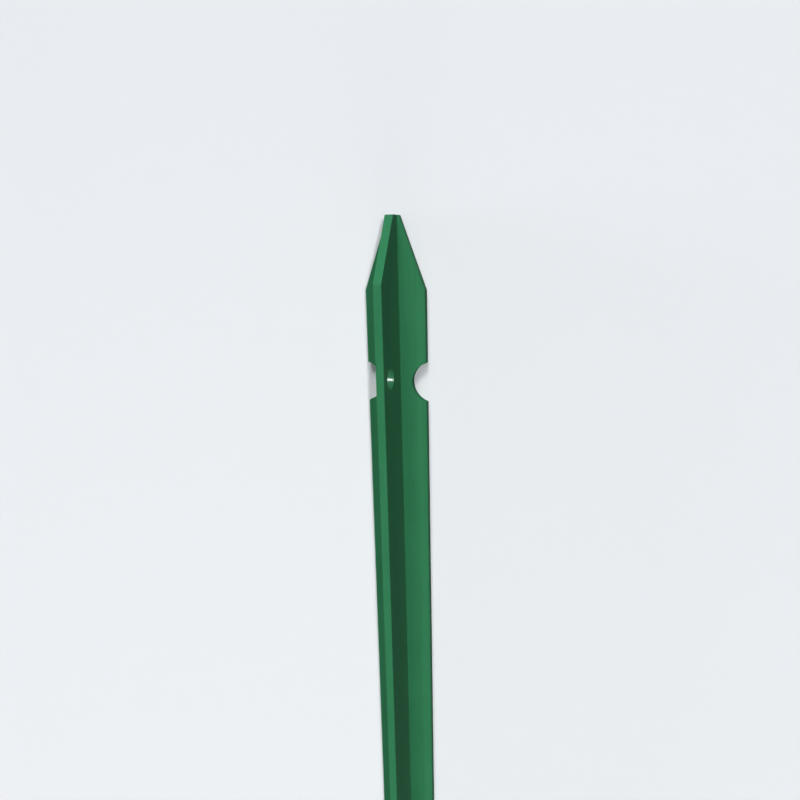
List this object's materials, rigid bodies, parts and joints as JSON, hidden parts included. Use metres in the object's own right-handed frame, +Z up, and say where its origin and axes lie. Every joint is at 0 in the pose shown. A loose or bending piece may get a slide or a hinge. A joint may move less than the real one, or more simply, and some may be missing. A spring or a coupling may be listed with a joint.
{
  "type": "t fence post",
  "caption": "Pointed fence post of rolled steel tee section, coated green, with a notch in each flange edge and a hole through the stem near the point.",
  "frame": {"origin": "on the back of the flange, at the middle of its width and of the post's length", "axes": "+Y along the post towards the driving point, +Z up the stem away from the flange, +X across the flange"},
  "size_m": [0.03, 1.5, 0.03],
  "materials": {
    "post": "semi-matt green plastic coat on rolled steel"
  },
  "bodies": {
    "root": {"post": "post"}
  },
  "joints": []
}
